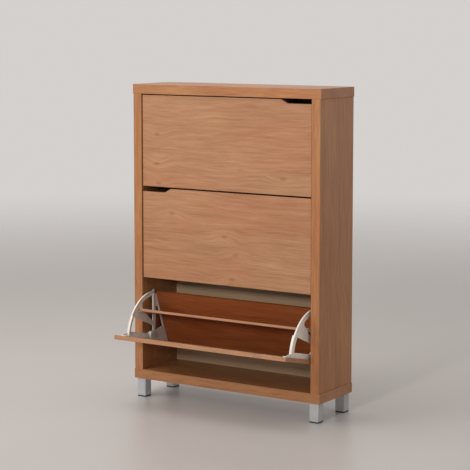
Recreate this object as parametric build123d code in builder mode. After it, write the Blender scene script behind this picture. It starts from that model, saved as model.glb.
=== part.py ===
from build123d import *
from math import acos, cos, radians, sin, tan
import os

# Shoe cabinet with three tilting drawers, in millimetres.
# +X is the right-hand side seen from the front, +Y is the back and +Z is up.
# The origin is on the floor, under the middle of the cabinet with its lower drawer open.

# ---------------------------------------------------------------- driving dimensions
width = 820.0
depth = 240.0
height = 1200.0
board = 36.0
overhang = 2.5
leg_height = 72.0
edge_round = 0.8

door_width = 737.0
door_height = 344.0
door_thick = 16.0
door_pitch = 350.0
door_inset = 4.5
floor_gap = 8.0

pivot_back = 38.0
pivot_up = 124.0
open_angle = 77.0
is_open = {"lower": True, "middle": False, "upper": False}

notch_deep = 15.0
notch_flat = 100.0
notch_slant = 27.0
notch_side = {"lower": 1, "middle": -1, "upper": 1}

# ---------------------------------------------------------------- shared places
side_outer = width / 2 - overhang
side_inner = side_outer - board
floor_top = leg_height + board
ceiling = height - board
door_top = door_height - pivot_up
face_back = door_inset - pivot_back
door_back = face_back + door_thick
reach = door_top * sin(radians(open_angle)) - face_back * cos(radians(open_angle)) - pivot_back
front = -(depth - reach) / 2
back = front + depth
middle_y = (front + back) / 2
pivot_y = front + pivot_back
lowest_pivot = floor_top + floor_gap + pivot_up
drawers = {"lower": 0, "middle": 1, "upper": 2}
sides = {"left": -1, "right": 1}

os.makedirs("parts", exist_ok=True)


def save(part, name):
    part.label = name
    export_step(part, f"parts/{name}.step")


def pivot_height(drawer):
    return lowest_pivot + drawers[drawer] * door_pitch


def side_plane(x, y, z, turn=0.0):
    """A plane square to X, with its own x towards the back and its own y upwards."""
    angle = radians(turn)
    return Plane(origin=(x, y, z), x_dir=(0, cos(angle), sin(angle)), z_dir=(1, 0, 0))


def drawer_plane(drawer, x):
    """The side plane through a drawer's pivot, turned with the drawer."""
    turn = open_angle if is_open[drawer] else 0.0
    return side_plane(x, pivot_y, pivot_height(drawer), turn)


def door_plane(drawer, deep):
    """A plane in a drawer's front, this deep behind its pivot, facing the user."""
    side = drawer_plane(drawer, 0)
    return Plane(origin=side.origin + side.x_dir * deep, x_dir=(1, 0, 0), z_dir=side.x_dir * -1)


# ---------------------------------------------------------------- carcass joints
cam_radius = 7.5
cam_deep = 12.5
cam_offset = 25.0
cam_slot_long = 9.0
cam_slot_wide = 1.8
cam_slot_deep = 3.0
cam_places = (75.0, 174.0)
bolt_x = side_inner + 9.0
bolt_radius = 3.0
bolt_bite = 11.0
bolt_head = 3.3
bolt_head_high = 5.0
bolt_past = 2.0
bolt_room = bolt_past + 1.0
bolt_neck = cam_offset + bolt_past - bolt_head_high
dowel_radius = 4.0
dowel_long = 35.0
dowel_hole = dowel_long / 2 + 1.0
dowel_x = side_inner + 22.0
dowel_places = (30.0, 124.5, 212.0)
fit = 0.1

groove_front = 228.0
back_thick = 4.0
groove_deep = 8.0
back_bite = 7.0

# ---------------------------------------------------------------- legs
tube = 38.0
tube_wall = 1.5
tube_corner = 3.0
bore = tube - 2 * tube_wall
bore_corner = tube_corner - tube_wall
leg_inset = 6.0
leg_plate = 73.0
leg_plate_thick = 2.0
leg_plate_corner = 4.0
pad_high = 5.0
pad_wide = tube - 0.6
plug_high = 10.0
leg_screw_head = 4.2
leg_screw_head_high = 2.0
leg_screw_bite = 16.0
leg_screw_places = ((56.0, 17.0), (17.0, 56.0), (56.0, 56.0))
corners = {"front": (front + leg_inset, 1), "rear": (back - leg_inset, -1)}


def leg_spot(side, row, across, along):
    """A place on a leg's plate, measured inwards from the leg's outer corner."""
    edge, inward = corners[row]
    return side * (side_outer - leg_inset - across), edge + inward * along


def all_leg_screws():
    return [leg_spot(s, row, *spot) for row in corners for s in sides.values() for spot in leg_screw_places]


# ---------------------------------------------------------------- pieces fixed to the side panels
plate_thick = 3.0
plate_long = 64.0
plate_wide = 26.0
plate_centre = 19.0
plate_screws = (19.0, 41.0)
pin_radius = 4.0
pin_clear = 0.05
shoulder_radius = 7.0
stud_radius = 4.0
spigot_radius = 2.5
spigot_long = 10.0
hole_spare = 0.5
stop_long = 13.0
bumper_up = 205.0
bumper_gap = 0.3
bumper_long = 9.5
screw_radius = 1.75
screw_clear = 0.2
screw_head = 3.4
screw_head_high = 1.8
screw_bite = 14.0
front_bite = 11.0
heel_bite = 7.0
divider_bite = 20.0

# ---------------------------------------------------------------- drawer brackets
wing_outer = 360.0
wing_thick = 3.0
wing_inner = wing_outer - wing_thick
hub_radius = 13.0
hub_inner = 352.0
hub_outer = 364.5
pin_end = hub_inner - 1.0
pin_shoulder = hub_outer + 0.4
rim_centre = (3.0, -13.0)
rim_radius = 168.0
rim_wide = 18.5
rim_start = 12.0
rim_end = 96.9
rim_step = 69.4
rim_lip = 3.0
lip_thin = 2.5
lip_thick = 6.5
stem_wide = 19.0
stem_low = -112.0
stem_high = rim_centre[1] + rim_radius - rim_wide / 2
foot_low = -100.0
foot_high = 189.0
foot_wide = 15.0
foot_thick = 3.0
foot_corner = 4.0
foot_screws = (-85.0, 30.0, 119.0, 174.0)
foot_screw_x = 351.0
knob_radius = 6.0
knob_at = 7.75
knob_ring = 169.0
stop_ring = knob_ring + 4.0

# ---------------------------------------------------------------- drawer boards
thin_board = 9.0
divider_front = 82.0
divider_top = 110.0
heel_slope = 34.0
heel_start = -114.0
heel_long = 219.5
heel_floor = -121.0
board_clear = 0.3
board_end = wing_inner - board_clear
rail_thick = 2.5
rail_above = 7.0
rail_wide = 17.0
rail_screw_x = 350.0
rail_begin = 24.0
rail_end = 210.0
rail_screws = (50.0, 120.0, 190.0)
slot_lip = 2.2
slot_out = 8.0
slot_low = -38.0
slot_high = 98.0
divider_screws = (-5.0, 60.0)
rib_out = 3.0

# Bracket webs as corner points behind and above the pivot, with the drawer closed.
front_spoke = ((58.5, 132.7), (109.2, 96.5), (80.0, 60.0), (43.0, -9.0), (33.0, -12.0))
rear_spoke = ((5.0, -9.0), (160.0, 27.0), (162.0, 12.0), (88.0, -9.5), (5.0, -23.0))
spoke_rib = ((94.0, 11.8), (155.0, 26.0), (155.0, 23.3), (94.0, 9.1))
rear_web = ((110.0, 4.0), (150.0, 16.0), (150.0, 4.0), (110.0, -22.0))
gusset = ((-12.0, 0.0), (10.0, -8.0), (37.6, -66.0), (-5.0, -95.0), (-12.0, -100.0))
nose = ((-17.5, 189.0), (-14.0, 189.0), (-4.5, 158.0), (1.5, 146.0), (-17.5, 140.0))
stem_holes = ((-11.0, 151.0), (-11.0, 119.0))
rear_corner = (107.0, 94.5)
rear_corner_radius = 10.0
front_corner = (57.4, 126.3)
front_corner_radius = 5.0
stem_hole_radius = 1.8

# ================================================================ carcass
spans = ((floor_top, -1), (ceiling, 1))


def horizontal_board(name, low, inner_face, away, under_holes=()):
    """Top or bottom panel, with holes for bolts and dowels and a groove for the back."""
    with BuildPart() as panel:
        with BuildSketch(Plane.XY.offset(low)):
            with Locations((0, middle_y)):
                Rectangle(width, depth)
        extrude(amount=board)
        fillet(panel.edges(), edge_round)
        with BuildSketch(Plane.XY.offset(inner_face)):
            with Locations((0, front + groove_front + back_thick / 2)):
                Rectangle(2 * (side_inner + groove_deep), back_thick + fit)
        extrude(amount=away * groove_deep, mode=Mode.SUBTRACT)
        with BuildSketch(Plane.XY.offset(inner_face)):
            with Locations(*[(s * bolt_x, front + y) for s in sides.values() for y in cam_places]):
                Circle(bolt_radius)
        extrude(amount=away * bolt_bite, mode=Mode.SUBTRACT)
        with BuildSketch(Plane.XY.offset(inner_face)):
            with Locations(*[(s * dowel_x, front + y) for s in sides.values() for y in dowel_places]):
                Circle(dowel_radius)
        extrude(amount=away * dowel_hole, mode=Mode.SUBTRACT)
        if under_holes:
            with BuildSketch(Plane.XY.offset(low)):
                with Locations(*under_holes):
                    Circle(screw_radius)
            extrude(amount=leg_screw_bite, mode=Mode.SUBTRACT)
    save(panel.part, name)


horizontal_board("bottom_panel", leg_height, floor_top, -1, all_leg_screws())
horizontal_board("top_panel", ceiling, ceiling, 1)


def side_board(name, side):
    """Upright side panel, with cam bores, dowel holes, spigot holes and the groove for the back."""
    stud_holes = [(knob_stop(d)[0] - front, knob_stop(d)[1]) for d in drawers]
    bumper_holes = [(bumper_place(d)[0] - front, bumper_place(d)[1]) for d in drawers]
    screw_holes = [(pivot_back + y, pivot_height(d)) for d in drawers for y in plate_screws]
    inward = side_plane(side * side_inner, front, 0)
    with BuildPart() as panel:
        with BuildSketch(inward):
            with Locations((depth / 2, (floor_top + ceiling) / 2)):
                Rectangle(depth, ceiling - floor_top)
        extrude(amount=side * board)
        fillet(panel.edges(), edge_round)
        with BuildSketch(inward):
            with Locations((groove_front + back_thick / 2, (floor_top + ceiling) / 2)):
                Rectangle(back_thick + fit, ceiling - floor_top)
        extrude(amount=side * groove_deep, mode=Mode.SUBTRACT)
        with BuildSketch(inward):
            with Locations(*[(y, z - away * cam_offset) for z, away in spans for y in cam_places]):
                Circle(cam_radius + fit)
        extrude(amount=side * (cam_deep + fit), mode=Mode.SUBTRACT)
        with BuildSketch(inward):
            with Locations(*stud_holes, *bumper_holes):
                Circle(spigot_radius)
        extrude(amount=side * spigot_long, mode=Mode.SUBTRACT)
        with BuildSketch(inward):
            with Locations(*screw_holes):
                Circle(screw_radius)
        extrude(amount=side * screw_bite, mode=Mode.SUBTRACT)
        for z, away in spans:
            with BuildSketch(Plane.XY.offset(z)):
                with Locations(*[(side * bolt_x, front + y) for y in cam_places]):
                    Circle(bolt_radius + fit)
            extrude(amount=-away * cam_offset, mode=Mode.SUBTRACT)
            with BuildSketch(Plane.XY.offset(z)):
                with Locations(*[(side * dowel_x, front + y) for y in dowel_places]):
                    Circle(dowel_radius)
            extrude(amount=-away * dowel_hole, mode=Mode.SUBTRACT)
    save(panel.part, name)


def knob_stop(drawer):
    """Centre of the stud that the bracket's knob meets when the drawer is fully open."""
    apart = knob_radius + stud_radius + bumper_gap
    spacing = acos((knob_ring**2 + stop_ring**2 - apart**2) / (2 * knob_ring * stop_ring))
    angle = radians(knob_at + open_angle) + spacing
    return pivot_y + stop_ring * cos(angle), pivot_height(drawer) + stop_ring * sin(angle)


def bumper_place(drawer):
    """Centre of the bumper behind the closed door's upper corner."""
    return pivot_y + door_back + stud_radius + bumper_gap, pivot_height(drawer) + bumper_up


for hand, side in sides.items():
    side_board(f"{hand}_side_panel", side)

with BuildPart() as back_panel:
    with BuildSketch(Plane.XZ.offset(-(front + groove_front))):
        with Locations((0, (floor_top + ceiling) / 2)):
            Rectangle(2 * (side_inner + back_bite), ceiling - floor_top + 2 * back_bite)
    extrude(amount=-back_thick)
save(back_panel.part, "back_panel")

with BuildPart() as cam_locks:
    for side in sides.values():
        for z, away in spans:
            for y in cam_places:
                face = side_plane(side * side_inner, front + y, z - away * cam_offset)
                with BuildSketch(face):
                    Circle(cam_radius)
                extrude(amount=side * cam_deep)
                with BuildSketch(face):
                    Rectangle(cam_slot_long, cam_slot_wide)
                    Rectangle(cam_slot_wide, cam_slot_long)
                extrude(amount=side * cam_slot_deep, mode=Mode.SUBTRACT)
                with BuildSketch(Plane.XY.offset(z - away * cam_offset)):
                    with Locations((side * bolt_x, front + y)):
                        Circle(bolt_head + fit)
                extrude(amount=away * cam_offset, mode=Mode.SUBTRACT)
                with BuildSketch(Plane.XY.offset(z - away * cam_offset)):
                    with Locations((side * bolt_x, front + y)):
                        Circle(bolt_head + fit)
                extrude(amount=-away * bolt_room, mode=Mode.SUBTRACT)
save(cam_locks.part, "cam_locks")

with BuildPart() as cam_bolts:
    for side in sides.values():
        for z, away in spans:
            spots = [(side * bolt_x, front + y) for y in cam_places]
            with BuildSketch(Plane.XY.offset(z - away * bolt_neck)):
                with Locations(*spots):
                    Circle(bolt_radius - fit)
            extrude(amount=away * bolt_neck)
            with BuildSketch(Plane.XY.offset(z)):
                with Locations(*spots):
                    Circle(bolt_radius)
            extrude(amount=away * bolt_bite)
            with BuildSketch(Plane.XY.offset(z - away * (cam_offset + bolt_past))):
                with Locations(*spots):
                    Circle(bolt_head)
            extrude(amount=away * bolt_head_high)
save(cam_bolts.part, "cam_bolts")

with BuildPart() as dowels:
    for z, away in spans:
        with BuildSketch(Plane.XY.offset(z - dowel_long / 2)):
            with Locations(*[(s * dowel_x, front + y) for s in sides.values() for y in dowel_places]):
                Circle(dowel_radius)
        extrude(amount=dowel_long)
save(dowels.part, "dowels")

# ================================================================ legs
def leg(name, side, row):
    """Square tube welded under the outer corner of a mounting plate."""
    with BuildPart() as post:
        with BuildSketch(Plane.XY.offset(leg_height - leg_plate_thick)):
            with Locations(leg_spot(side, row, leg_plate / 2, leg_plate / 2)):
                RectangleRounded(leg_plate, leg_plate, leg_plate_corner)
            with Locations(*[leg_spot(side, row, *spot) for spot in leg_screw_places]):
                Circle(screw_radius + screw_clear, mode=Mode.SUBTRACT)
        extrude(amount=leg_plate_thick)
        with BuildSketch(Plane.XY.offset(pad_high)):
            with Locations(leg_spot(side, row, tube / 2, tube / 2)):
                RectangleRounded(tube, tube, tube_corner)
                RectangleRounded(bore, bore, bore_corner, mode=Mode.SUBTRACT)
        extrude(amount=leg_height - leg_plate_thick - pad_high)
    save(post.part, name)


for row in corners:
    for hand, side in sides.items():
        leg(f"{row}_{hand}_leg", side, row)

with BuildPart() as leg_pads:
    for row in corners:
        for side in sides.values():
            middle = leg_spot(side, row, tube / 2, tube / 2)
            with BuildSketch(Plane.XY):
                with Locations(middle):
                    RectangleRounded(pad_wide, pad_wide, tube_corner)
            extrude(amount=pad_high)
            with BuildSketch(Plane.XY.offset(pad_high)):
                with Locations(middle):
                    RectangleRounded(bore, bore, bore_corner)
            extrude(amount=plug_high)
save(leg_pads.part, "leg_pads")

with BuildPart() as leg_screws:
    plate_under = leg_height - leg_plate_thick
    with BuildSketch(Plane.XY.offset(plate_under)):
        with Locations(*all_leg_screws()):
            Circle(leg_screw_head)
    extrude(amount=-leg_screw_head_high)
    with BuildSketch(Plane.XY.offset(plate_under)):
        with Locations(*all_leg_screws()):
            Circle(screw_radius)
    extrude(amount=leg_plate_thick + leg_screw_bite)
save(leg_screws.part, "leg_screws")

# ================================================================ hardware on the side panels


def pivot_plate(name, side, drawer):
    """Plate screwed to the side panel, with a riveted pin for the drawer's hub."""
    with BuildPart() as plate:
        with BuildSketch(side_plane(side * side_inner, pivot_y, pivot_height(drawer))):
            with Locations((plate_centre, 0)):
                SlotOverall(plate_long, plate_wide)
            Circle(pin_radius, mode=Mode.SUBTRACT)
            with Locations(*[(y, 0) for y in plate_screws]):
                Circle(screw_radius + screw_clear, mode=Mode.SUBTRACT)
        extrude(amount=-side * plate_thick)
    save(plate.part, name)


def pivot_pins(name, drawer):
    """A shouldered steel pin on each side of one drawer."""
    with BuildPart() as pins:
        for side in sides.values():
            y, z = pivot_y, pivot_height(drawer)
            with BuildSketch(side_plane(side * pin_end, y, z)):
                Circle(pin_radius)
            extrude(amount=side * (side_inner - pin_end))
            with BuildSketch(side_plane(side * pin_shoulder, y, z)):
                Circle(shoulder_radius)
            extrude(amount=side * (side_inner - plate_thick - pin_shoulder))
    save(pins.part, name)


def wall_studs(name, y, z, long):
    """A pair of studs, each pressed into one side panel by a thinner spigot."""
    with BuildPart() as studs:
        for side in sides.values():
            with BuildSketch(side_plane(side * side_inner, y, z)):
                Circle(stud_radius)
            extrude(amount=-side * long)
            with BuildSketch(side_plane(side * side_inner, y, z)):
                Circle(spigot_radius)
            extrude(amount=side * (spigot_long - hole_spare))
    save(studs.part, name)


for drawer in drawers:
    for hand, side in sides.items():
        pivot_plate(f"{drawer}_{hand}_pivot_plate", side, drawer)
    pivot_pins(f"{drawer}_pivot_pins", drawer)
    wall_studs(f"{drawer}_opening_stops", *knob_stop(drawer), stop_long)
    wall_studs(f"{drawer}_closing_bumpers", *bumper_place(drawer), bumper_long)

with BuildPart() as pivot_screws:
    for drawer in drawers:
        for side in sides.values():
            washer_face = side_plane(side * (side_inner - plate_thick), pivot_y, pivot_height(drawer))
            with BuildSketch(washer_face):
                with Locations(*[(y, 0) for y in plate_screws]):
                    Circle(screw_head)
            extrude(amount=-side * screw_head_high)
            with BuildSketch(washer_face):
                with Locations(*[(y, 0) for y in plate_screws]):
                    Circle(screw_radius)
            extrude(amount=side * (plate_thick + screw_bite - hole_spare))
save(pivot_screws.part, "pivot_screws")

# ================================================================ drawers
heel_rise = tan(radians(heel_slope))


def heel_z(y):
    """Height of the heel board's inner face, this deep behind the pivot."""
    return heel_start + (y - door_back) * heel_rise


def heel_plane(drawer, x):
    """A plane square to X whose own x runs up the heel board's inner face from the door."""
    side = drawer_plane(drawer, x)
    slope = radians(heel_slope)
    start = side.from_local_coords((door_back, heel_start, 0))
    along = side.x_dir * cos(slope) + side.y_dir * sin(slope)
    return Plane(origin=start, x_dir=along, z_dir=(1, 0, 0))


def drawer_front(name, drawer):
    """The door, with a finger notch at one end of its top edge and pilot holes behind."""
    hand = notch_side[drawer]
    notch_floor = door_top - notch_deep
    notch_end = door_width / 2 - notch_flat
    above = door_top + notch_deep
    beyond = door_width / 2 + notch_deep
    with BuildPart() as door:
        with BuildSketch(drawer_plane(drawer, -door_width / 2)):
            with Locations((face_back + door_thick / 2, door_top - door_height / 2)):
                Rectangle(door_thick, door_height)
        extrude(amount=door_width)
        with BuildSketch(door_plane(drawer, face_back)):
            Polygon(
                (hand * (notch_end - notch_slant), above),
                (hand * (notch_end - notch_slant), door_top),
                (hand * notch_end, notch_floor),
                (hand * beyond, notch_floor),
                (hand * beyond, above),
                align=None,
            )
        extrude(amount=-door_thick, mode=Mode.SUBTRACT)
        fillet(door.edges(), edge_round)
        with BuildSketch(door_plane(drawer, door_back)):
            with Locations(*[(s * foot_screw_x, up) for s in sides.values() for up in foot_screws]):
                Circle(screw_radius)
        extrude(amount=front_bite, mode=Mode.SUBTRACT)
    save(door.part, name)


def divider(name, drawer):
    """Upright board between the two shoe compartments, cut to the heel board's slope below."""
    with BuildPart() as panel:
        with BuildSketch(drawer_plane(drawer, -board_end)):
            Polygon(
                (divider_front, heel_z(divider_front)),
                (divider_front + thin_board, heel_z(divider_front + thin_board)),
                (divider_front + thin_board, divider_top),
                (divider_front, divider_top),
                align=None,
            )
        extrude(amount=2 * board_end)
        long_edges = panel.edges().filter_by(lambda edge: edge.length > board_end)
        fillet(long_edges.sort_by(Axis.Z)[-2:], edge_round)
        for side in sides.values():
            with BuildSketch(drawer_plane(drawer, side * board_end)):
                with Locations(*[(divider_front + thin_board / 2, up) for up in divider_screws]):
                    Circle(screw_radius)
            extrude(amount=-side * divider_bite, mode=Mode.SUBTRACT)
    save(panel.part, name)


def heel_board(name, drawer):
    """Sloping board that the shoes' heels rest on, from the door up towards the back."""
    drop = thin_board / cos(radians(heel_slope))
    rise = heel_long * sin(radians(heel_slope))
    run = heel_long * cos(radians(heel_slope))
    lean = thin_board * sin(radians(heel_slope))
    floor_back = door_back + (heel_floor - heel_start + drop) / heel_rise
    with BuildPart() as panel:
        with BuildSketch(drawer_plane(drawer, -board_end)):
            Polygon(
                (door_back, heel_start),
                (door_back, heel_floor),
                (floor_back, heel_floor),
                (door_back + run + lean, heel_start + rise - thin_board * cos(radians(heel_slope))),
                (door_back + run, heel_start + rise),
                align=None,
            )
        extrude(amount=2 * board_end)
        for side in sides.values():
            with BuildSketch(heel_under(drawer)):
                with Locations(*[(side * rail_screw_x, along) for along in rail_screws]):
                    Circle(screw_radius)
            extrude(amount=-heel_bite, mode=Mode.SUBTRACT)
    save(panel.part, name)


def heel_under(drawer, below=0.0):
    """A plane this far below the heel board, facing outwards, its own y running up the slope."""
    heel = heel_plane(drawer, 0)
    start = heel.from_local_coords((0, -thin_board - below, 0))
    return Plane(origin=start, x_dir=(-1, 0, 0), z_dir=heel.y_dir * -1)


def rim_band(start, end, wide):
    """An arched band just inside the rim's outer edge, from one angle to another."""
    with BuildLine(Plane.XY) as outline:
        outer = CenterArc(rim_centre, rim_radius, start, end - start)
        inner = CenterArc(rim_centre, rim_radius - wide, start, end - start)
        Line(outer @ 0, inner @ 0)
        Line(outer @ 1, inner @ 1)
    make_face(outline.edges())


def wing_sketch(side, drawer):
    """Outline of a bracket's flat side: stem on the door, rim, spokes, webs, rail and hub."""
    rail_under = -thin_board - rail_thick
    with BuildSketch(drawer_plane(drawer, side * wing_inner)) as outline:
        with Locations((door_back + stem_wide / 2, (stem_low + stem_high) / 2)):
            Rectangle(stem_wide, stem_high - stem_low)
        Polygon(*nose, align=None)
        rim_band(rim_start, rim_end, rim_wide)
        Polygon(*front_spoke, align=None)
        fillet(outline.vertices().sort_by_distance(rear_corner)[0], rear_corner_radius)
        fillet(outline.vertices().sort_by_distance(front_corner)[0], front_corner_radius)
        Polygon(*rear_spoke, align=None)
        Polygon(*rear_web, align=None)
        Polygon(*gusset, align=None)
        with Locations((divider_front + thin_board / 2, (slot_low + slot_high) / 2)):
            Rectangle(thin_board + 2 * slot_lip, slot_high - slot_low)
        with Locations(Vector(knob_ring, 0).rotate(Axis.Z, knob_at)):
            Circle(knob_radius)
        Circle(hub_radius)
        with Locations(*stem_holes):
            Circle(stem_hole_radius, mode=Mode.SUBTRACT)
    with BuildSketch(heel_plane(drawer, side * wing_inner)) as rail:
        with Locations(((rail_begin + rail_end) / 2, (rail_above + rail_under) / 2)):
            Rectangle(rail_end - rail_begin, rail_above - rail_under)
    return outline.sketch, rail.sketch


def arc_lip(side, drawer, start, end, wide):
    """Turned-in lip along part of the rim."""
    with BuildSketch(drawer_plane(drawer, side * wing_inner)) as lip:
        rim_band(start, end, rim_lip)
    extrude(lip.sketch, amount=-side * wide)


def bracket(name, side, drawer):
    """Moulded end bracket that carries the boards and turns on the pivot pin."""
    with BuildPart() as piece:
        for face in wing_sketch(side, drawer):
            extrude(face, amount=side * wing_thick)
        arc_lip(side, drawer, rim_start, rim_step, lip_thin)
        arc_lip(side, drawer, rim_step, rim_end, lip_thick)
        with BuildSketch(door_plane(drawer, door_back)) as foot:
            with Locations((side * (wing_outer - foot_wide / 2), (foot_low + foot_high) / 2)):
                Rectangle(foot_wide, foot_high - foot_low)
            fillet(foot.vertices(), foot_corner)
            with Locations(*[(side * foot_screw_x, up) for up in foot_screws]):
                Circle(screw_radius + screw_clear, mode=Mode.SUBTRACT)
        extrude(amount=-foot_thick)
        with BuildSketch(heel_under(drawer, rail_thick)):
            with Locations((-side * (wing_outer - rail_wide / 2), (rail_begin + rail_end) / 2)):
                Rectangle(rail_wide, rail_end - rail_begin)
            with Locations(*[(-side * rail_screw_x, along) for along in rail_screws]):
                Circle(screw_radius + screw_clear, mode=Mode.SUBTRACT)
        extrude(amount=-rail_thick)
        with BuildSketch(drawer_plane(drawer, side * wing_inner)):
            for edge in (divider_front - slot_lip / 2, divider_front + thin_board + slot_lip / 2):
                with Locations((edge, (slot_low + slot_high) / 2)):
                    Rectangle(slot_lip, slot_high - slot_low)
        extrude(amount=-side * slot_out)
        with BuildSketch(drawer_plane(drawer, side * wing_inner)):
            Polygon(*spoke_rib, align=None)
        extrude(amount=-side * rib_out)
        with BuildSketch(drawer_plane(drawer, side * hub_inner)):
            Circle(hub_radius)
        extrude(amount=side * (hub_outer - hub_inner))
        with BuildSketch(drawer_plane(drawer, side * wing_outer)):
            with Locations(Vector(knob_ring, 0).rotate(Axis.Z, knob_at)):
                Circle(knob_radius)
        extrude(amount=side * (hub_outer - wing_outer))
        with BuildSketch(drawer_plane(drawer, side * hub_inner)):
            Circle(pin_radius + pin_clear)
        extrude(amount=side * (hub_outer - hub_inner), mode=Mode.SUBTRACT)
        with BuildSketch(drawer_plane(drawer, side * wing_inner)):
            with Locations(*[(divider_front + thin_board / 2, up) for up in divider_screws]):
                Circle(screw_radius + screw_clear)
        extrude(amount=side * wing_thick, mode=Mode.SUBTRACT)
    save(piece.part, name)


def screw(plane, spots, grip, bite):
    """Pan-head screws standing on this plane, with the plane's normal out of their heads."""
    with BuildSketch(plane) as head:
        with Locations(*spots):
            Circle(screw_head)
    extrude(head.sketch, amount=screw_head_high)
    with BuildSketch(plane) as shank:
        with Locations(*spots):
            Circle(screw_radius)
    extrude(shank.sketch, amount=-(grip + bite))


def drawer_screws(drawer):
    """The screws that hold one drawer's front, heel board and divider to its brackets."""
    with BuildPart() as front_screws:
        inside = door_plane(drawer, door_back + foot_thick)
        facing_back = Plane(origin=inside.origin, x_dir=(-1, 0, 0), z_dir=inside.z_dir * -1)
        spots = [(s * foot_screw_x, up) for s in sides.values() for up in foot_screws]
        screw(facing_back, spots, foot_thick, front_bite)
    save(front_screws.part, f"{drawer}_door_screws")
    with BuildPart() as heel_screws:
        spots = [(s * rail_screw_x, along) for s in sides.values() for along in rail_screws]
        screw(heel_under(drawer, rail_thick), spots, rail_thick, heel_bite)
    save(heel_screws.part, f"{drawer}_heel_screws")
    with BuildPart() as end_screws:
        spots = [(divider_front + thin_board / 2, up) for up in divider_screws]
        for side in sides.values():
            side_face = drawer_plane(drawer, side * wing_outer)
            outward = Plane(origin=side_face.origin, x_dir=side_face.x_dir, z_dir=(side, 0, 0))
            screw(outward, [(y, side * z) for y, z in spots], wing_thick + board_clear, divider_bite)
    save(end_screws.part, f"{drawer}_divider_screws")


for drawer in drawers:
    drawer_front(f"{drawer}_door", drawer)
    divider(f"{drawer}_divider", drawer)
    heel_board(f"{drawer}_heel_board", drawer)
    for hand, side in sides.items():
        bracket(f"{drawer}_{hand}_bracket", side, drawer)
    drawer_screws(drawer)
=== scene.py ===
"""The looks of a shoe cabinet with three tilting drawers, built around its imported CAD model."""

import math

import bmesh
import bpy
import numpy as np
from mathutils import Matrix, Vector


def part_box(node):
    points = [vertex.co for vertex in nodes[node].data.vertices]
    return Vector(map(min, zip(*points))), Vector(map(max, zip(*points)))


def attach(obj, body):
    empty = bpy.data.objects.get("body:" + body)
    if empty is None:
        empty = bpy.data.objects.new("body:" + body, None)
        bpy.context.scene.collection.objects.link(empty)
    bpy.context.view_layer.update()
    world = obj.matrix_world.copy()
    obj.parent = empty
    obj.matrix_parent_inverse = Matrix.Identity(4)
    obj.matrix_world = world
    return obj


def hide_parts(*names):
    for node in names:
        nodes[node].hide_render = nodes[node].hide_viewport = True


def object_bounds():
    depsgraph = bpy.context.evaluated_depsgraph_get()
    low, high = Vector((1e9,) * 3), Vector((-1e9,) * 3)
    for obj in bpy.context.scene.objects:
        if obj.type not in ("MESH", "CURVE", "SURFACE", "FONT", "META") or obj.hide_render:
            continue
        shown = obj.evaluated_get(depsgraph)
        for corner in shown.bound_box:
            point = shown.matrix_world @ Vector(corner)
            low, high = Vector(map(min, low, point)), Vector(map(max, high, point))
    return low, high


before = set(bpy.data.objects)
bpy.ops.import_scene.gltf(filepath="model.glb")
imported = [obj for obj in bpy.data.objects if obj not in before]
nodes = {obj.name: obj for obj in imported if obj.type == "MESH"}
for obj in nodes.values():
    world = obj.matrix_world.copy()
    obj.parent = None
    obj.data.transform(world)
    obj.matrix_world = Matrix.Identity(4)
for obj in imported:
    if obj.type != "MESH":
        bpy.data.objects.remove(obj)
cad_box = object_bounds()

MM = 0.001
X, Z = Vector((1, 0, 0)), Vector((0, 0, 1))
DRAWERS = ("upper", "middle", "lower")
DRAWER_SCREWS = [(f"{drawer}_{place}_screws", f"{drawer}_drawer")
                 for drawer in DRAWERS for place in ("door", "heel", "divider")]
SCREW_NODES = [("pivot_screws", "cabinet"), ("leg_screws", "cabinet"), *DRAWER_SCREWS]


# ================================================================ shader helpers
def srgb(red, green, blue):
    """A colour written as it looks on a screen, 0 to 255, as the linear colour that shaders use."""
    parts = [c / 255 for c in (red, green, blue)]
    linear = [c / 12.92 if c <= 0.04045 else ((c + 0.055) / 1.055) ** 2.4 for c in parts]
    return (*linear, 1.0)


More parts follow.
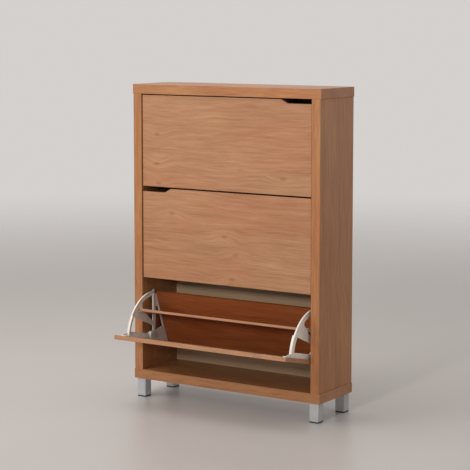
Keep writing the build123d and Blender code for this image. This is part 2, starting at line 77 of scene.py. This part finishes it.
class Tree:
    """Adds nodes to one shader tree. An input is given as a value or as another node's output."""

    def __init__(self, tree):
        """Works on the given tree, of a material or of a node group."""
        self.tree = tree

    def add(self, kind, inputs=None, **settings):
        """Makes a node with its settings, and gives its inputs their values."""
        made = self.tree.nodes.new("ShaderNode" + kind)
        for key, value in settings.items():
            setattr(made, key, value)
        for key, value in (inputs or {}).items():
            self.put(made.inputs[key], value)
        return made

    def put(self, socket, value):
        """Links another node's output to an input, or sets the input's value."""
        if isinstance(value, bpy.types.NodeSocket):
            self.tree.links.new(value, socket)
        else:
            socket.default_value = value

    def math(self, operation, *values, clamp=False):
        """A number worked out from other numbers."""
        made = self.add("Math", dict(enumerate(values)), operation=operation, use_clamp=clamp)
        return made.outputs[0]

    def vector(self, operation, *values):
        """A vector worked out from other vectors."""
        made = self.add("VectorMath", dict(enumerate(values)), operation=operation)
        return made.outputs[0]

    def length(self, vector):
        """How long a vector is."""
        return self.add("VectorMath", {0: vector}, operation="LENGTH").outputs["Value"]

    def split(self, vector):
        """A vector's x, y and z."""
        return self.add("SeparateXYZ", {"Vector": vector}).outputs

    def mix(self, factor, low, high, blend="MIX"):
        """Mixes two colours."""
        made = self.add("Mix", data_type="RGBA", blend_type=blend)
        for index, value in ((0, factor), (6, low), (7, high)):
            self.put(made.inputs[index], value)
        return made.outputs[2]

    def noise(self, place, detail=2.0, roughness=0.5, distortion=0.0):
        """Noise from 0 to 1 around 0.5, whose features are as large as place's units."""
        settings = {"Vector": place, "Scale": 1.0, "Detail": detail, "Roughness": roughness,
                    "Distortion": distortion}
        return self.add("TexNoise", settings).outputs[0]

    def step(self, value, low, high):
        """Rises smoothly from 0 to 1 as value goes from low to high."""
        settings = {"Value": value, "From Min": low, "From Max": high}
        return self.add("MapRange", settings, interpolation_type="SMOOTHSTEP").outputs[0]

    def scaled(self, place, x, y, z):
        """A vector with each part multiplied by its own number."""
        return self.vector("MULTIPLY", place, (x, y, z))

    def add_up(self, first, *weighted):
        """first plus each (value, weight) pair."""
        total = first
        for value, weight in weighted:
            total = self.math("MULTIPLY_ADD", value, weight, total)
        return total


def new_material(name, viewport):
    """A material with a Principled shader, its tree and that shader."""
    made = bpy.data.materials.new(name)
    made.use_nodes = True
    made.diffuse_color = viewport
    shader = made.node_tree.nodes["Principled BSDF"]
    return made, Tree(made.node_tree), shader


# ================================================================ wood
# How many of each feature fit in a metre: along the grain, across it and through the board.
KNOT_RATE = (4.2, 9.0, 9.0)
SLOW_RATE = (1.6, 4.0, 4.0)
RIPPLE_RATE = (11.0, 22.0, 22.0)
BAND_RATE = (3.0, 42.0, 42.0)
STREAK_RATE = (7.0, 135.0, 135.0)
LINE_RATE = (13.0, 360.0, 360.0)
FIBRE_RATE = (26.0, 1500.0, 1500.0)
PORE_RATE = (70.0, 2300.0, 2300.0)
CLOUD_RATE = (2.2, 7.0, 7.0)
BLUSH_RATE = (1.6, 5.0, 5.0)

# How far each one pushes the growth lines across the grain, in metres.
SLOW_BEND, RIPPLE_BEND, EYE_BEND = 0.055, 0.007, 0.02

# A cell of the knot pattern has a knot if its random number is above this one.
KNOT_PICK = 0.5
# Distances from a knot's middle, as parts of a cell.
EYE_RADIUS, CORE_RADIUS, CORE_SOLID = 0.42, 0.085, 0.02

# Distances from a board's edge, in metres.
RUBBED_OUT, RUBBED_FULL = 0.0012, 0.0002
TAPE_START, TAPE_IN, TAPE_OUT, TAPE_END = 0.0009, 0.0012, 0.0013, 0.0018


def wood_group():
    """The laminate's printed wood, in metres.

    X runs along the grain, Y across it and Z through the board.
    """
    group = bpy.data.node_groups.new("printed_wood", "ShaderNodeTree")
    for name, kind in (("Place", "Vector"), ("Half", "Vector"), ("Seed", "Vector"),
                       ("Light", "Color"), ("Dark", "Color"), ("Tint", "Color"),
                       ("Knots", "Float")):
        group.interface.new_socket(name, in_out="INPUT", socket_type="NodeSocket" + kind)
    for name, kind in (("Color", "Color"), ("Roughness", "Float"), ("Height", "Float")):
        group.interface.new_socket(name, in_out="OUTPUT", socket_type="NodeSocket" + kind)
    tree = Tree(group)
    given = group.nodes.new("NodeGroupInput").outputs
    result = group.nodes.new("NodeGroupOutput").inputs

    place = tree.vector("ADD", given["Place"], given["Seed"])

    # Knots lift the growth lines into eyes around them.
    cells = tree.add("TexVoronoi", {"Vector": tree.scaled(place, *KNOT_RATE), "Scale": 1.0,
                                    "Randomness": 1.0}, voronoi_dimensions="2D")
    cell_pick = tree.add("SeparateColor", {"Color": cells.outputs["Color"]}).outputs[0]
    chosen = tree.math("MULTIPLY", tree.math("GREATER_THAN", cell_pick, KNOT_PICK), given["Knots"])
    nearness = tree.step(cells.outputs["Distance"], EYE_RADIUS, 0.0)
    eye = tree.math("MULTIPLY", nearness, chosen)
    solid = tree.step(cells.outputs["Distance"], CORE_RADIUS, CORE_SOLID)
    core = tree.math("MULTIPLY", solid, chosen)

    # Slow waves bend the lines.
    parts = tree.split(place)
    slow = tree.noise(tree.scaled(place, *SLOW_RATE), detail=2.0)
    ripple = tree.noise(tree.scaled(place, *RIPPLE_RATE), detail=1.0)
    across = tree.add_up(parts[1], (slow, SLOW_BEND), (ripple, RIPPLE_BEND), (eye, EYE_BEND))
    bent = tree.add("CombineXYZ", {"X": parts[0], "Y": across, "Z": parts[2]}).outputs[0]

    bands = tree.noise(tree.scaled(bent, *BAND_RATE), detail=1.0)
    streaks = tree.noise(tree.scaled(bent, *STREAK_RATE), detail=2.0, roughness=0.6)
    lines = tree.noise(tree.scaled(bent, *LINE_RATE), detail=2.0, roughness=0.6)
    fibres = tree.noise(tree.scaled(bent, *FIBRE_RATE), detail=1.0)
    pores = tree.step(tree.noise(tree.scaled(bent, *PORE_RATE), detail=0.0), 0.66, 0.8)
    cloud = tree.noise(tree.scaled(place, *CLOUD_RATE), detail=2.0)
    blush = tree.noise(tree.scaled(place, *BLUSH_RATE), detail=2.0)

    # The first number brings the sum of the weighted features back to between light and dark.
    shade = tree.add_up(-1.05, (bands, 0.45), (streaks, 1.05), (lines, 0.8), (fibres, 0.3),
                        (cloud, 0.6), (eye, -0.12))
    shade = tree.math("MULTIPLY_ADD", pores, 0.22, shade, clamp=True)
    wood = tree.mix(shade, given["Light"], given["Dark"])
    wood = tree.mix(tree.step(blush, 0.42, 0.62), wood, given["Tint"], blend="MULTIPLY")
    knot_dark = tree.mix(1.0, given["Dark"], (0.42, 0.34, 0.3, 1.0), blend="MULTIPLY")
    wood = tree.mix(tree.math("MULTIPLY", core, 0.34), wood, knot_dark)

    # The edge tape meets the face in a hairline, and corners are rubbed a little lighter.
    size = tree.split(tree.vector("ABSOLUTE", given["Place"]))
    half = tree.split(given["Half"])
    to_x, to_y, to_z = (tree.math("SUBTRACT", half[i], size[i]) for i in range(3))
    nearest = tree.math("MINIMUM", to_x, to_y)
    farther = tree.math("MAXIMUM", to_x, to_y)
    from_edge = tree.math("MAXIMUM", nearest, tree.math("MINIMUM", farther, to_z))
    near_edge = tree.step(from_edge, RUBBED_OUT, RUBBED_FULL)
    rubbed = tree.math("MULTIPLY", near_edge, tree.step(ripple, 0.4, 0.62))
    wood = tree.mix(tree.math("MULTIPLY", rubbed, 0.3), wood, given["Light"])
    tape_begins = tree.step(from_edge, TAPE_START, TAPE_IN)
    tape = tree.math("MULTIPLY", tape_begins, tree.step(from_edge, TAPE_END, TAPE_OUT))
    wood = tree.mix(tree.math("MULTIPLY", tape, 0.35), wood, knot_dark)

    rough = tree.add_up(0.26, (fibres, 0.12), (cloud, 0.08), (rubbed, 0.08))
    height = tree.add_up(0.0, (fibres, 0.6), (lines, 0.3), (pores, -0.8), (tape, -1.5))
    for name, value in (("Color", wood), ("Roughness", rough), ("Height", height)):
        tree.put(result[name], value)
    return group


def board_axes(node, grain):
    """A board's own directions: along the grain, across it, and out of its largest face."""
    facing = {}
    for face in nodes[node].data.polygons:
        direction = tuple(round(c, 2) for c in face.normal)
        facing[direction] = facing.get(direction, 0.0) + face.area
    out = Vector(max(facing, key=facing.get)).normalized()
    return grain, out.cross(grain).normalized(), out


# Multiplied by a board's own number, this moves its print to a part that no other board has.
SEED_STEP = (3.71, 1.93, 0.87)


def cover_in_wood(node, grain, colours, knots, seed):
    """Gives a board its laminate, laid along the board's own directions."""
    axes = Matrix(board_axes(node, grain))
    corners = np.array([axes @ vertex.co for vertex in nodes[node].data.vertices])
    low, high = Vector(corners.min(0)), Vector(corners.max(0))
    light, dark, tint = colours
    material, tree, shader = new_material(node + "_laminate", light)
    place = tree.add("Mapping", {"Vector": tree.add("TexCoord").outputs["Object"],
                                 "Location": -(low + high) / 2, "Rotation": axes.to_euler()})
    wood = tree.add("Group", node_tree=PRINTED_WOOD)
    offset = tuple(step * seed for step in SEED_STEP)
    for name, value in (("Place", place.outputs[0]), ("Half", (high - low) / 2),
                        ("Light", light), ("Seed", offset), ("Dark", dark), ("Tint", tint),
                        ("Knots", knots)):
        tree.put(wood.inputs[name], value)
    bump = tree.add("Bump", {"Height": wood.outputs["Height"], "Strength": 0.12,
                             "Distance": 0.2 * MM})
    tree.put(shader.inputs["Base Color"], wood.outputs["Color"])
    tree.put(shader.inputs["Roughness"], wood.outputs["Roughness"])
    tree.put(shader.inputs["Normal"], bump.outputs[0])
    shader.inputs["Specular IOR Level"].default_value = 0.45
    dress(nodes[node], material)


def dress(piece, material):
    """Puts one material on a piece."""
    piece.data.materials.clear()
    piece.data.materials.append(material)


# Each laminate's light tone, its dark tone, and the tint of its patches.
CASE_WOOD = (srgb(176, 125, 82), srgb(136, 87, 52), (1.0, 0.93, 0.88, 1.0))
SIDE_WOOD = (srgb(175, 122, 77), srgb(135, 84, 48), (1.0, 0.93, 0.88, 1.0))
DOOR_WOOD = (srgb(176, 132, 97), srgb(140, 95, 63), (1.0, 0.92, 0.9, 1.0))
# The heel boards' laminate is the doors' wood, made darker and redder here as painted shade for the
# shade inside the drawer.
SHADED_INNER_WOOD = (srgb(150, 84, 44), srgb(106, 52, 25), (1.0, 0.92, 0.84, 1.0))


def dress_boards():
    """Covers every laminated board. The last two numbers are its knots' strength and its seed."""
    cover_in_wood("top_panel", X, CASE_WOOD, 0.4, 1)
    cover_in_wood("bottom_panel", X, CASE_WOOD, 0.4, 2)
    cover_in_wood("left_side_panel", Z, SIDE_WOOD, 0.5, 3)
    cover_in_wood("right_side_panel", Z, SIDE_WOOD, 0.5, 4)
    for index, drawer in enumerate(DRAWERS):
        cover_in_wood(drawer + "_door", X, DOOR_WOOD, 1.0, 5 + 3 * index)
        cover_in_wood(drawer + "_divider", X, DOOR_WOOD, 0.3, 6 + 3 * index)
        # The heel boards take the darkened laminate, whose colour holds painted shade.
        cover_in_wood(drawer + "_heel_board", X, SHADED_INNER_WOOD, 0.3, 7 + 3 * index)


# ================================================================ other materials
def object_place(tree, x=1.0, y=1.0, z=1.0):
    """The piece's own coordinates in metres, scaled."""
    return tree.scaled(tree.add("TexCoord").outputs["Object"], x, y, z)


def finish_shader(tree, shader, colour, roughness, height=None, strength=0.1,
                  distance=0.2 * MM):
    """Gives the shader its colour, its roughness and, where there is a height, its relief."""
    tree.put(shader.inputs["Base Color"], colour)
    tree.put(shader.inputs["Roughness"], roughness)
    if height is not None:
        bump = tree.add("Bump", {"Height": height, "Strength": strength, "Distance": distance})
        tree.put(shader.inputs["Normal"], bump.outputs[0])


def moulded_plastic():
    """Warm light grey moulded plastic with a fine spark-eroded skin."""
    colour = srgb(206, 200, 190)
    material, tree, shader = new_material("bracket_plastic", colour)
    skin = tree.noise(object_place(tree, 2600, 2600, 2600), detail=2.0)
    flow = tree.noise(object_place(tree, 28, 28, 28), detail=3.0)
    marks = tree.noise(object_place(tree, 60, 420, 60), detail=3.0, roughness=0.7)
    scuffs = tree.step(marks, 0.6, 0.75)
    tone = tree.mix(tree.step(flow, 0.3, 0.7), srgb(208, 202, 192), srgb(222, 217, 208))
    tone = tree.mix(tree.math("MULTIPLY", scuffs, 0.25), tone, srgb(170, 163, 152))
    rough = tree.add_up(0.34, (flow, 0.1), (skin, 0.06), (scuffs, 0.12))
    finish_shader(tree, shader, tone, rough, skin, strength=0.15, distance=0.08 * MM)
    shader.inputs["Subsurface Weight"].default_value = 0.08
    shader.inputs["Subsurface Scale"].default_value = 2 * MM
    return material


def brushed_leg():
    """Silver painted steel tube, drawn along its height."""
    material, tree, shader = new_material("leg_metal", srgb(186, 187, 188))
    drawn = tree.noise(object_place(tree, 1400, 1400, 14), detail=2.0)
    cloud = tree.noise(object_place(tree, 26, 26, 40), detail=3.0)
    tone = tree.mix(cloud, srgb(164, 165, 167), srgb(186, 187, 188))
    rough = tree.add_up(0.24, (drawn, 0.12), (cloud, 0.08))
    finish_shader(tree, shader, tone, rough, drawn, strength=0.12, distance=0.05 * MM)
    shader.inputs["Metallic"].default_value = 0.3
    return material


def zinc_steel():
    """Zinc-plated steel with a faint yellow spangle."""
    material, tree, shader = new_material("zinc_steel", srgb(190, 190, 186))
    spangle = tree.add("TexVoronoi", {"Vector": object_place(tree, 260, 260, 260), "Scale": 1.0})
    pick = tree.add("SeparateColor", {"Color": spangle.outputs["Color"]}).outputs[0]
    cloud = tree.noise(object_place(tree, 90, 90, 90), detail=3.0)
    tone = tree.mix(pick, srgb(176, 176, 172), srgb(204, 203, 196))
    tone = tree.mix(tree.step(cloud, 0.55, 0.75), tone, srgb(168, 160, 140))
    rough = tree.add_up(0.2, (pick, 0.08), (cloud, 0.14))
    finish_shader(tree, shader, tone, rough, cloud, strength=0.1, distance=0.05 * MM)
    shader.inputs["Metallic"].default_value = 1.0
    return material


def rubber(name, dark, light, roughness):
    """Dull rubber with fine specks and a little dust."""
    material, tree, shader = new_material(name, light)
    speck = tree.noise(object_place(tree, 900, 900, 900), detail=3.0)
    dust = tree.noise(object_place(tree, 120, 120, 120), detail=3.0)
    tone = tree.mix(tree.step(dust, 0.35, 0.7), dark, light)
    rough = tree.add_up(roughness, (speck, 0.15), (dust, 0.1))
    finish_shader(tree, shader, tone, rough, speck, strength=0.2, distance=0.1 * MM)
    return material


def raw_beech():
    """Unfinished beech with its grain along Z."""
    material, tree, shader = new_material("beech_dowel", srgb(206, 172, 128))
    grain = tree.noise(object_place(tree, 700, 700, 30), detail=3.0)
    tone = tree.mix(grain, srgb(184, 146, 102), srgb(216, 184, 142))
    finish_shader(tree, shader, tone, tree.add_up(0.55, (grain, 0.2)), grain, strength=0.2)
    return material


# Radians per metre of the screen that presses its pattern into the hardboard's rear face.
SCREEN_RATE = 3000.0


def back_board():
    """Thin hardboard, with a plain painted face inside and raw pressed fibre behind."""
    low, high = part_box("back_panel")
    material, tree, shader = new_material("back_board", srgb(188, 168, 142))
    coordinate = object_place(tree)
    across, depth, up = tree.split(coordinate)
    behind = tree.step(depth, (low.y + high.y) / 2, high.y)
    fibre = tree.noise(tree.scaled(coordinate, 300, 300, 900), detail=4.0, roughness=0.7)
    cloud = tree.noise(tree.scaled(coordinate, 6, 6, 9), detail=3.0)
    painted = tree.mix(cloud, srgb(166, 136, 105), srgb(184, 155, 124))
    painted = tree.mix(tree.math("MULTIPLY", fibre, 0.25), painted, srgb(146, 120, 92))
    raw = tree.mix(fibre, srgb(104, 72, 46), srgb(150, 112, 76))
    raw = tree.mix(tree.step(cloud, 0.4, 0.7), raw, srgb(118, 84, 54))
    tone = tree.mix(behind, painted, raw)
    screen_x, screen_z = (tree.math("SINE", tree.math("MULTIPLY", along, SCREEN_RATE))
                          for along in (across, up))
    screen = tree.math("MULTIPLY", tree.math("MULTIPLY", screen_x, screen_z), behind)
    height = tree.add_up(fibre, (screen, 0.6))
    rough = tree.add_up(0.4, (fibre, 0.15), (behind, 0.3))
    finish_shader(tree, shader, tone, rough, height, strength=0.25, distance=0.2 * MM)
    return material


def dress_hardware():
    """Gives every node that isn't laminated its material, and returns the screws' one."""
    plastic, leg, zinc = moulded_plastic(), brushed_leg(), zinc_steel()
    black = rubber("black_rubber", srgb(22, 22, 23), srgb(44, 43, 42), 0.5)
    brown = rubber("bumper_rubber", srgb(70, 48, 36), srgb(96, 70, 54), 0.4)
    beech, back = raw_beech(), back_board()
    by_slot = {"bracket_plastic": plastic, "leg_metal": leg, "zinc_steel": zinc,
               "black_rubber": black, "bumper_rubber": brown, "beech_dowel": beech,
               "back_board": back}
    for node in nodes.values():
        slot = node.data.materials[0].name
        if slot in by_slot:
            dress(node, by_slot[slot])
    return zinc


# ================================================================ hardware shapes
BRACKET_EDGE, LEG_EDGE, SMALL_EDGE = 0.7 * MM, 0.5 * MM, 0.4 * MM
SHARP_ANGLE = math.radians(35)
SMALL_PARTS = ("_plate", "_bumpers", "_stops", "_pins", "cam_locks", "leg_pads")


def soften(node, width):
    """Rounds a moulded or pressed piece's edges a little."""
    weld = node.modifiers.new("weld", "WELD")
    weld.merge_threshold = 0.01 * MM
    bevel = node.modifiers.new("soft_edges", "BEVEL")
    bevel.width = width
    bevel.segments = 2
    bevel.limit_method = "ANGLE"
    bevel.angle_limit = SHARP_ANGLE
    bevel.harden_normals = True


def soften_hardware():
    """Softens every moulded, pressed or cut piece of hardware."""
    for name, node in nodes.items():
        if name.endswith("_bracket"):
            soften(node, BRACKET_EDGE)
        elif name.endswith("_leg"):
            soften(node, LEG_EDGE)
        elif name.endswith(SMALL_PARTS):
            soften(node, SMALL_EDGE)


def loose_solids(node):
    """The corner points of each separate solid in a node."""
    shape = bmesh.new()
    shape.from_mesh(nodes[node].data)
    bmesh.ops.remove_doubles(shape, verts=shape.verts, dist=0.001 * MM)
    waiting = set(shape.verts)
    solids = []
    for first in list(shape.verts):
        if first not in waiting:
            continue
        waiting.discard(first)
        found, edge_of_walk = [], [first]
        while edge_of_walk:
            vertex = edge_of_walk.pop()
            found.append(vertex.co.copy())
            for edge in vertex.link_edges:
                other = edge.other_vert(vertex)
                if other in waiting:
                    waiting.discard(other)
                    edge_of_walk.append(other)
        solids.append(np.array(found))
    shape.free()
    return solids


# A point farther from a screw's axis than this part of its widest radius is on its head.
HEAD_SHARE = 0.8


def measure_screw(points):
    """A screw's seat and outward direction, and its head's and shank's radius and length."""
    middle = points.mean(0)
    directions = np.linalg.svd(points - middle)[2]
    axis = directions[0]
    along = (points - middle) @ axis
    radius = np.linalg.norm(points - middle - np.outer(along, axis), axis=1)
    head = along[radius > HEAD_SHARE * radius.max()]
    if head.mean() < (along.min() + along.max()) / 2:
        axis, along, head = -axis, -along, -head
    centre = middle + axis * head.min()
    return (Vector(centre), Vector(axis), radius.max(), head.max() - head.min(),
            radius.min(), head.min() - along.min())


def spun(shape, outline, segments=32):
    """Turns an outline of (radius, height) points about Z into a closed solid."""
    rings = []
    for radius, height in outline:
        if radius == 0.0:
            rings.append([shape.verts.new((0.0, 0.0, height))] * segments)
            continue
        turns = [2 * math.pi * i / segments for i in range(segments)]
        rings.append([shape.verts.new((radius * math.cos(t), radius * math.sin(t), height))
                      for t in turns])
    for upper, lower in zip(rings, rings[1:]):
        for i in range(segments):
            corners = [upper[i], lower[i], lower[(i + 1) % segments], upper[(i + 1) % segments]]
            corners = list(dict.fromkeys(corners))
            shape.faces.new(corners)


# The angles at which the head's round crown is sampled, and the height where the crown begins,
# as a part of the head's height.
CROWN_ANGLES = (0.35, 0.7, 1.0, 1.25, 1.45)
CROWN_START = 0.45
# The thread's aimed pitch, and its root's radius as a part of the shank's.
THREAD_PITCH = 1.1 * MM
THREAD_ROOT = 0.75


def screw_template(head, high, shank, long):
    """A pan-head screw with a cross recess and a thread, its seat at the origin and its head up."""
    crown = [(0.0, high)]
    crown += [(head * math.sin(t), high * (CROWN_START + (1 - CROWN_START) * math.cos(t)))
              for t in CROWN_ANGLES]
    crown += [(head, CROWN_START * high), (head, 0.12 * high), (0.96 * head, 0.0)]
    turns = int(long / THREAD_PITCH) - 1
    pitch = long / (turns + 2)
    root = THREAD_ROOT * shank
    thread = [(root, -0.3 * pitch)]
    for turn in range(turns):
        low = -(turn + 0.5) * pitch
        thread += [(root, low), (shank, low - 0.35 * pitch), (root, low - 0.7 * pitch)]
    thread += [(0.72 * shank, -long + 1.2 * pitch), (0.0, -long)]
    shape = bmesh.new()
    spun(shape, crown + thread)
    bmesh.ops.recalc_face_normals(shape, faces=shape.faces)
    blank = bpy.data.meshes.new("screw_blank")
    shape.to_mesh(blank)
    shape.free()

    cutter_shape = bmesh.new()
    arm, wing, deep = 0.56 * head, 0.13 * head, 0.75 * high
    for turned in (False, True):
        x, y = (wing, arm) if turned else (arm, wing)
        made = bmesh.ops.create_cube(cutter_shape, size=2.0)["verts"]
        for vertex in made:
            below = vertex.co.z < 0
            narrow = 0.55 if below else 1.0
            level = high - deep * below + high * (vertex.co.z > 0)
            vertex.co = Vector((vertex.co.x * x * narrow, vertex.co.y * y, level))
    cross = bpy.data.meshes.new("cross_recess")
    cutter_shape.to_mesh(cross)
    cutter_shape.free()
    return cut(blank, cross)


def cut(body_mesh, tool_mesh):
    """The first mesh with the second one taken out of it."""
    body = bpy.data.objects.new("cut_body", body_mesh)
    tool = bpy.data.objects.new("cut_tool", tool_mesh)
    for thing in (body, tool):
        bpy.context.scene.collection.objects.link(thing)
    change = body.modifiers.new("cut", "BOOLEAN")
    change.operation = "DIFFERENCE"
    change.solver = "EXACT"
    change.use_self = True
    change.object = tool
    ready = body.evaluated_get(bpy.context.evaluated_depsgraph_get())
    result = bpy.data.meshes.new_from_object(ready)
    for thing in (body, tool):
        bpy.data.objects.remove(thing)
    return result


# Each screw is turned on from the last one by this angle, so their recesses don't line up.
TURN_STEP = 2.4


def replace_screws(node, body, material):
    """Stands real screws in place of a node's plain ones."""
    templates = {}
    shape = bmesh.new()
    for index, points in enumerate(loose_solids(node)):
        seat, out, head, high, shank, long = measure_screw(points)
        key = tuple(round(value / MM, 1) for value in (head, high, shank, long))
        if key not in templates:
            templates[key] = screw_template(head, high, shank, long)
        spin = Matrix.Rotation(index * TURN_STEP, 4, "Z")
        tilt = Z.rotation_difference(out).to_matrix().to_4x4()
        place = Matrix.Translation(seat) @ tilt @ spin
        before = len(shape.verts)
        shape.from_mesh(templates[key])
        shape.verts.ensure_lookup_table()
        bmesh.ops.transform(shape, matrix=place, verts=shape.verts[before:])
    mesh = bpy.data.meshes.new(node + "_detail")
    shape.to_mesh(mesh)
    shape.free()
    screws = bpy.data.objects.new(node + "_detail", mesh)
    bpy.context.scene.collection.objects.link(screws)
    dress(screws, material)
    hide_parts(node)
    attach(screws, body)


def stand_screws(material):
    """Replaces the screws of every screw node."""
    for name, body in SCREW_NODES:
        replace_screws(name, body, material)


# ================================================================ stage
WARM_WHITE, SOFT_WHITE = (1.0, 0.99, 0.96), (1.0, 0.99, 0.97)
SURROUND = (0.66, 0.635, 0.615, 1.0)
FLOOR_RADIUS = 14.0
FADE_FROM, FADE_TO = 2.2, 8.0


def area_light(name, place, aim, size, power, colour, spread=180):
    """A square soft light aimed at a point, with its spread in degrees."""
    light = bpy.data.lights.new(name, "AREA")
    light.shape = "SQUARE"
    light.size = size
    light.energy = power
    light.color = colour
    light.spread = math.radians(spread)
    lamp = bpy.data.objects.new(name, light)
    lamp.location = place
    lamp.rotation_euler = (Vector(aim) - Vector(place)).to_track_quat("-Z", "Y").to_euler()
    bpy.context.scene.collection.objects.link(lamp)


def studio():
    """A pale floor that fades into a pale surround, and three soft lights."""
    low, high = cad_box
    middle = (low + high) / 2
    top = Vector((middle.x, middle.y, high.z))
    area_light("key", (0.6, -5.8, 2.2), top, 0.6, 26, WARM_WHITE, spread=75)
    area_light("window", (-2.4, -2.8, 3.0), top, 2.0, 60, SOFT_WHITE)
    area_light("overhead", (-0.9, -0.3, 3.3), top, 1.8, 30, SOFT_WHITE)
    world = bpy.data.worlds.new("surround")
    world.use_nodes = True
    world.node_tree.nodes["Background"].inputs["Color"].default_value = SURROUND
    bpy.context.scene.world = world

    mesh = bpy.data.meshes.new("floor")
    shape = bmesh.new()
    bmesh.ops.create_circle(shape, cap_ends=True, segments=96, radius=FLOOR_RADIUS)
    shape.to_mesh(mesh)
    shape.free()
    floor = bpy.data.objects.new("floor", mesh)
    bpy.context.scene.collection.objects.link(floor)
    material, tree, shader = new_material("pale_floor", srgb(190, 184, 180))
    cloud = tree.noise(object_place(tree, 1.5, 1.5, 1.5), detail=3.0)
    tone = tree.mix(cloud, srgb(174, 168, 165), srgb(184, 179, 176))
    finish_shader(tree, shader, tone, tree.add_up(0.32, (cloud, 0.1)))
    fade = tree.step(tree.length(object_place(tree)), FADE_FROM, FADE_TO)
    clear = tree.add("BsdfTransparent").outputs[0]
    blend = tree.add("MixShader", {0: fade, 1: shader.outputs[0], 2: clear}).outputs[0]
    tree.put(material.node_tree.nodes["Material Output"].inputs["Surface"], blend)
    dress(floor, material)


# The camera's place in metres, and its turn about Z and dip below level in radians.
CAMERA_PLACE = (3.2529, -4.9654, 1.4484)
CAMERA_HEADING, CAMERA_PITCH = 0.5755, 0.1088


def place_camera():
    """Stands the camera at the front right, a little above the cabinet."""
    lens = bpy.data.cameras.new("camera")
    lens.sensor_width = 36.0
    lens.lens = 124.32
    lens.shift_y = -0.0851
    camera = bpy.data.objects.new("camera", lens)
    camera.location = CAMERA_PLACE
    camera.rotation_euler = (math.pi / 2 - CAMERA_PITCH, 0.0, CAMERA_HEADING)
    bpy.context.scene.collection.objects.link(camera)
    bpy.context.scene.camera = camera
    bpy.context.scene.view_settings.view_transform = "Standard"


PRINTED_WOOD = wood_group()
place_camera()
zinc = dress_hardware()
dress_boards()
soften_hardware()
stand_screws(zinc)
studio()
